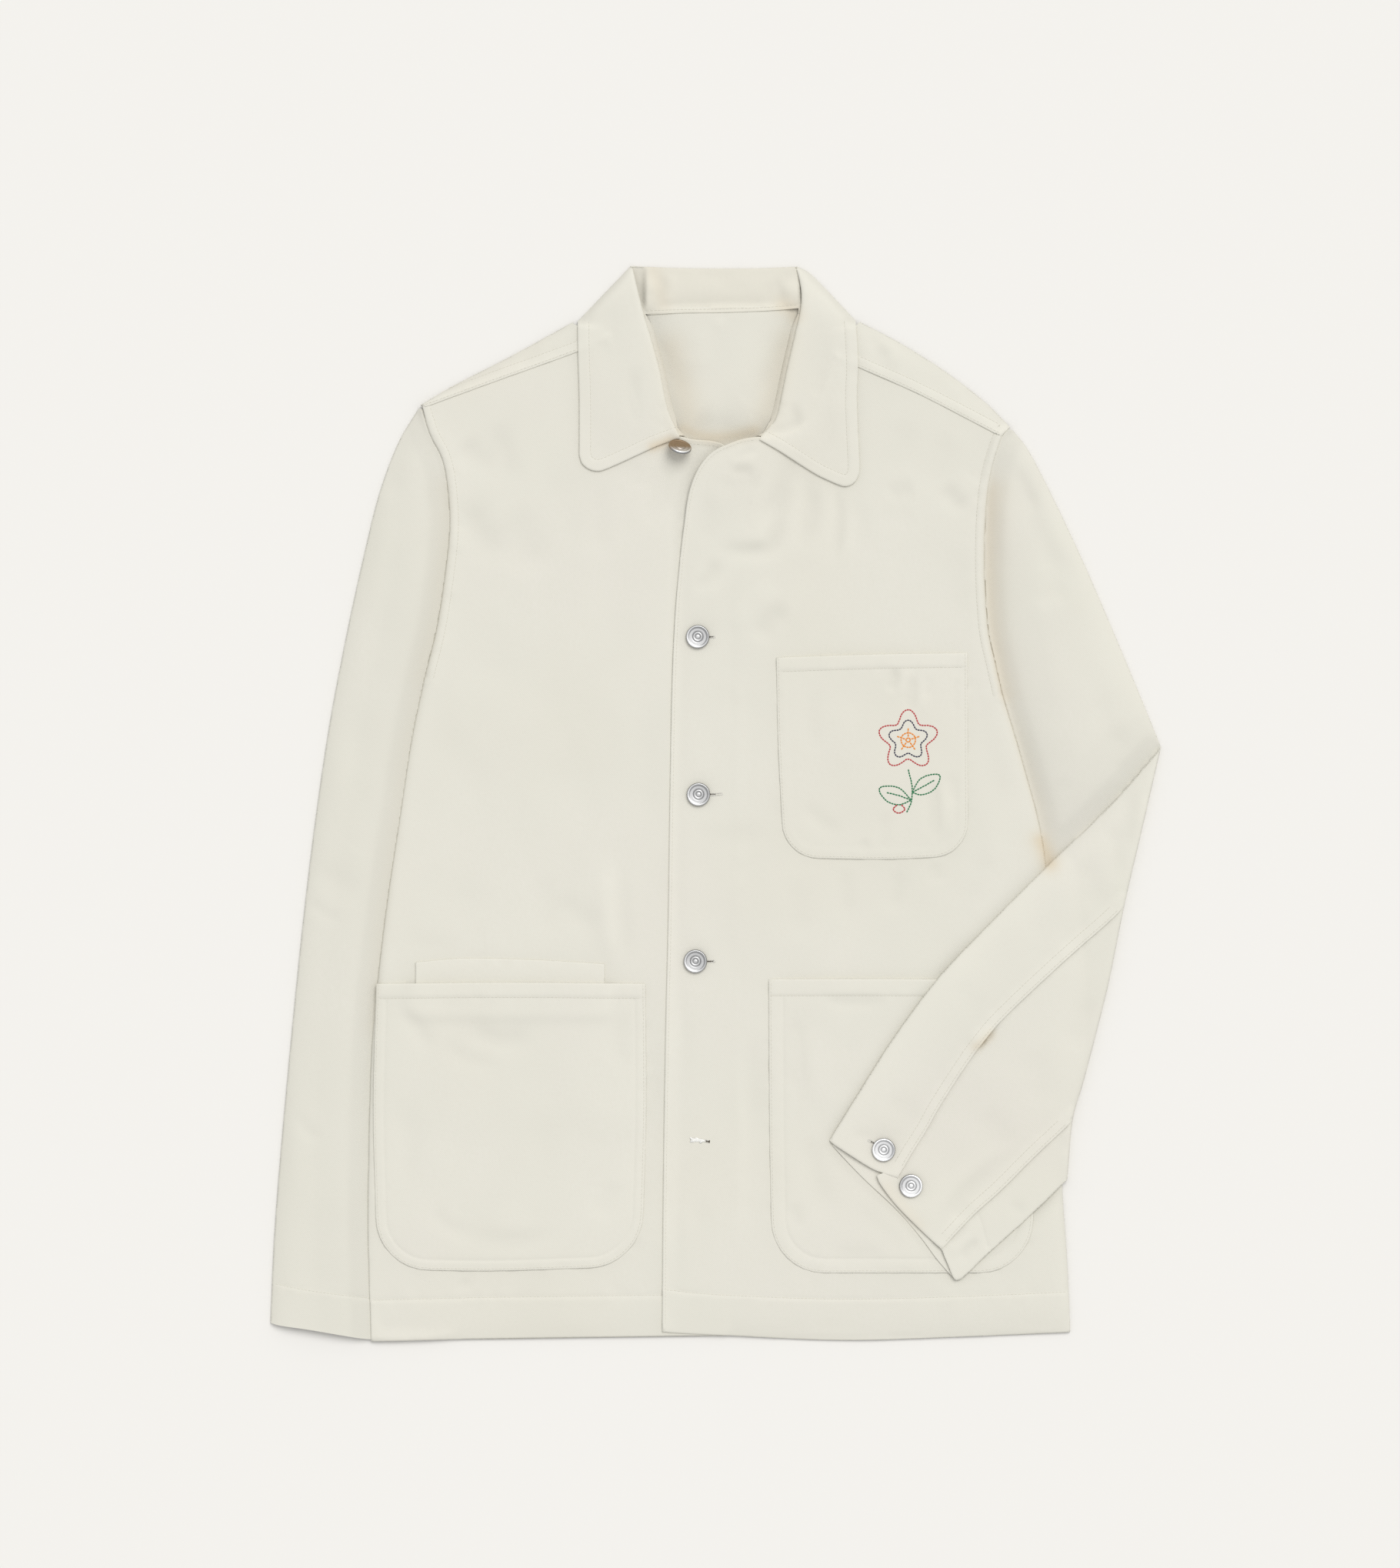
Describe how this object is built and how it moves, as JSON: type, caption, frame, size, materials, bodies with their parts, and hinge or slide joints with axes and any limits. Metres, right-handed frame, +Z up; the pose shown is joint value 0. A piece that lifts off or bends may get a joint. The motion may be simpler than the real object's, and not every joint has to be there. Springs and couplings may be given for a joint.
{
  "type": "fatigue jacket",
  "caption": "Cotton drill work jacket laid flat, front up, with a turned-down collar, patch pockets, metal shank buttons and one sleeve folded over the front.",
  "frame": {"origin": "under the middle of the jacket's bounding box, on the surface that the jacket lies on", "axes": "+Z up from the surface through the front of the jacket, +Y from the hem to the collar, +X to the wearer's left side"},
  "size_m": [0.6488, 0.782, 0.0175],
  "materials": {
    "cotton_drill": "matt cream cotton drill, garment washed",
    "button_metal": "silver-coloured metal, satin with a brighter rim"
  },
  "bodies": {
    "root": {"back": "cotton_drill", "front_right": "cotton_drill", "front_left": "cotton_drill", "collar_stand": "cotton_drill", "collar_fall": "cotton_drill", "inner_pocket": "cotton_drill", "chest_pocket": "cotton_drill", "pocket_right": "cotton_drill", "pocket_left": "cotton_drill", "sleeve_right_top": "cotton_drill", "sleeve_right_under": "cotton_drill", "sleeve_left_top": "cotton_drill", "sleeve_left_under": "cotton_drill", "button_neck": "button_metal", "button_front_1": "button_metal", "button_front_2": "button_metal", "button_front_3": "button_metal", "button_cuff_1": "button_metal", "button_cuff_2": "button_metal"}
  },
  "joints": []
}
